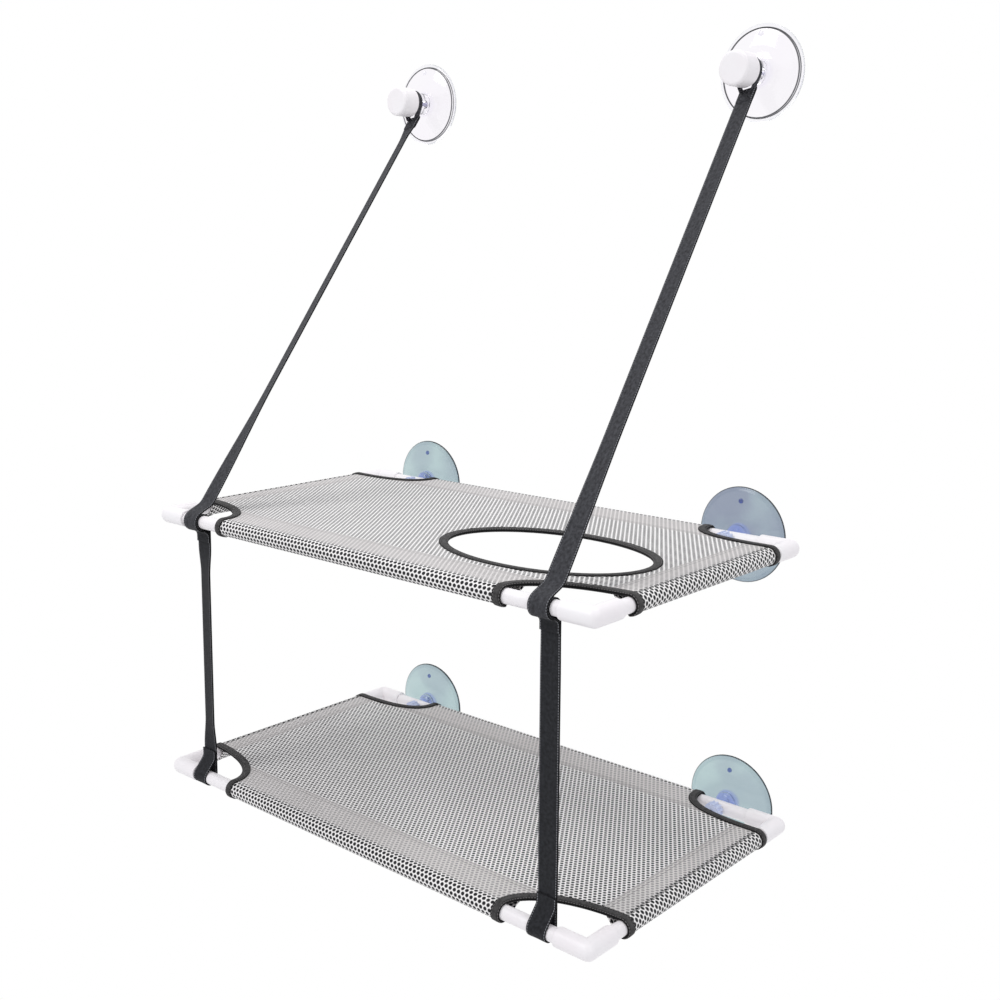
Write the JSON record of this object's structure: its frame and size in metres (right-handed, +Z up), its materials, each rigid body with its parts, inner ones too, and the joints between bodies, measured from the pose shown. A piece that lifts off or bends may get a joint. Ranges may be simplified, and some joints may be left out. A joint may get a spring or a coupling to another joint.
{
  "type": "window mounted cat perch",
  "caption": "Two slung mesh tiers on tube frames, one over the other, hung on a window by suction cups and webbing straps, with an oval way through the upper tier.",
  "frame": {"origin": "on the glass, midway between the sides and level with the tubes of the upper tier", "axes": "+X to the right as seen from the room, +Y out of the room into the glass, +Z up"},
  "size_m": [0.5564, 0.3234, 0.7758],
  "materials": {
    "clear_cup": "glossy",
    "blue_cup": "glossy",
    "stud_plastic": "glossy",
    "nut_plastic": "satin",
    "white_plastic": "satin",
    "mesh_cloth": "woven",
    "binding_tape": "woven",
    "webbing": "woven"
  },
  "bodies": {
    "window_side": {"hanger_cup_left": "clear_cup", "hanger_stud_left": "stud_plastic", "hanger_strap_left": "webbing", "hanger_cup_right": "clear_cup", "hanger_stud_right": "stud_plastic", "hanger_strap_right": "webbing", "upper_cup_left": "blue_cup", "upper_stud_left": "stud_plastic", "upper_cup_right": "blue_cup", "upper_stud_right": "stud_plastic", "upper_back_tube": "white_plastic", "lower_cup_left": "blue_cup", "lower_stud_left": "stud_plastic", "lower_cup_right": "blue_cup", "lower_stud_right": "stud_plastic", "lower_back_tube": "white_plastic"},
    "upper_tier": {"upper_front_tube": "white_plastic", "upper_left_tube": "white_plastic", "upper_right_tube": "white_plastic", "upper_elbow_front_left": "white_plastic", "upper_elbow_front_right": "white_plastic", "upper_elbow_back_right": "white_plastic", "upper_elbow_back_left": "white_plastic", "upper_sling": "mesh_cloth", "upper_corner_binding": "binding_tape", "hole_binding": "binding_tape"},
    "lower_tier": {"lower_front_tube": "white_plastic", "lower_left_tube": "white_plastic", "lower_right_tube": "white_plastic", "lower_elbow_front_left": "white_plastic", "lower_elbow_front_right": "white_plastic", "lower_elbow_back_right": "white_plastic", "lower_elbow_back_left": "white_plastic", "lower_sling": "mesh_cloth", "lower_corner_binding": "binding_tape"},
    "drop_straps": {"drop_strap_left": "webbing", "drop_strap_right": "webbing"},
    "upper_nut_left": {"upper_nut_left": "nut_plastic"},
    "upper_nut_right": {"upper_nut_right": "nut_plastic"},
    "lower_nut_left": {"lower_nut_left": "nut_plastic"},
    "lower_nut_right": {"lower_nut_right": "nut_plastic"},
    "hanger_knob_left": {"hanger_knob_left": "white_plastic"},
    "hanger_knob_right": {"hanger_knob_right": "white_plastic"}
  },
  "joints": [
    {"name": "upper_tier_fold", "type": "hinge", "parent": "window_side", "child": "upper_tier", "pos_m": [0, -0.022, 0], "axis": [-1, 0, 0], "range_deg": [0, 80], "deforming": ["hanger_strap_left", "hanger_strap_right"]},
    {"name": "lower_tier_fold", "type": "hinge", "parent": "window_side", "child": "lower_tier", "pos_m": [0, -0.022, -0.2698], "axis": [-1, 0, 0], "range_deg": [0, 80]},
    {"name": "drop_strap_swing", "type": "hinge", "parent": "upper_tier", "child": "drop_straps", "pos_m": [0, -0.313, 0], "axis": [-1, 0, 0], "range_deg": [-80, 0]},
    {"name": "upper_nut_left_turn", "type": "hinge", "parent": "window_side", "child": "upper_nut_left", "pos_m": [-0.207, 0, 0], "axis": [0, -1, 0], "continuous": true},
    {"name": "upper_nut_right_turn", "type": "hinge", "parent": "window_side", "child": "upper_nut_right", "pos_m": [0.207, 0, 0], "axis": [0, -1, 0], "continuous": true},
    {"name": "lower_nut_left_turn", "type": "hinge", "parent": "window_side", "child": "lower_nut_left", "pos_m": [-0.207, 0, -0.2698], "axis": [0, -1, 0], "continuous": true},
    {"name": "lower_nut_right_turn", "type": "hinge", "parent": "window_side", "child": "lower_nut_right", "pos_m": [0.207, 0, -0.2698], "axis": [0, -1, 0], "continuous": true},
    {"name": "hanger_knob_left_turn", "type": "hinge", "parent": "window_side", "child": "hanger_knob_left", "pos_m": [-0.207, 0, 0.418], "axis": [0, -1, 0], "continuous": true},
    {"name": "hanger_knob_right_turn", "type": "hinge", "parent": "window_side", "child": "hanger_knob_right", "pos_m": [0.207, 0, 0.418], "axis": [0, -1, 0], "continuous": true}
  ],
  "couplings": [
    {"joint": "lower_tier_fold", "follows": "upper_tier_fold", "ratio": 1},
    {"joint": "drop_strap_swing", "follows": "upper_tier_fold", "ratio": -1}
  ]
}
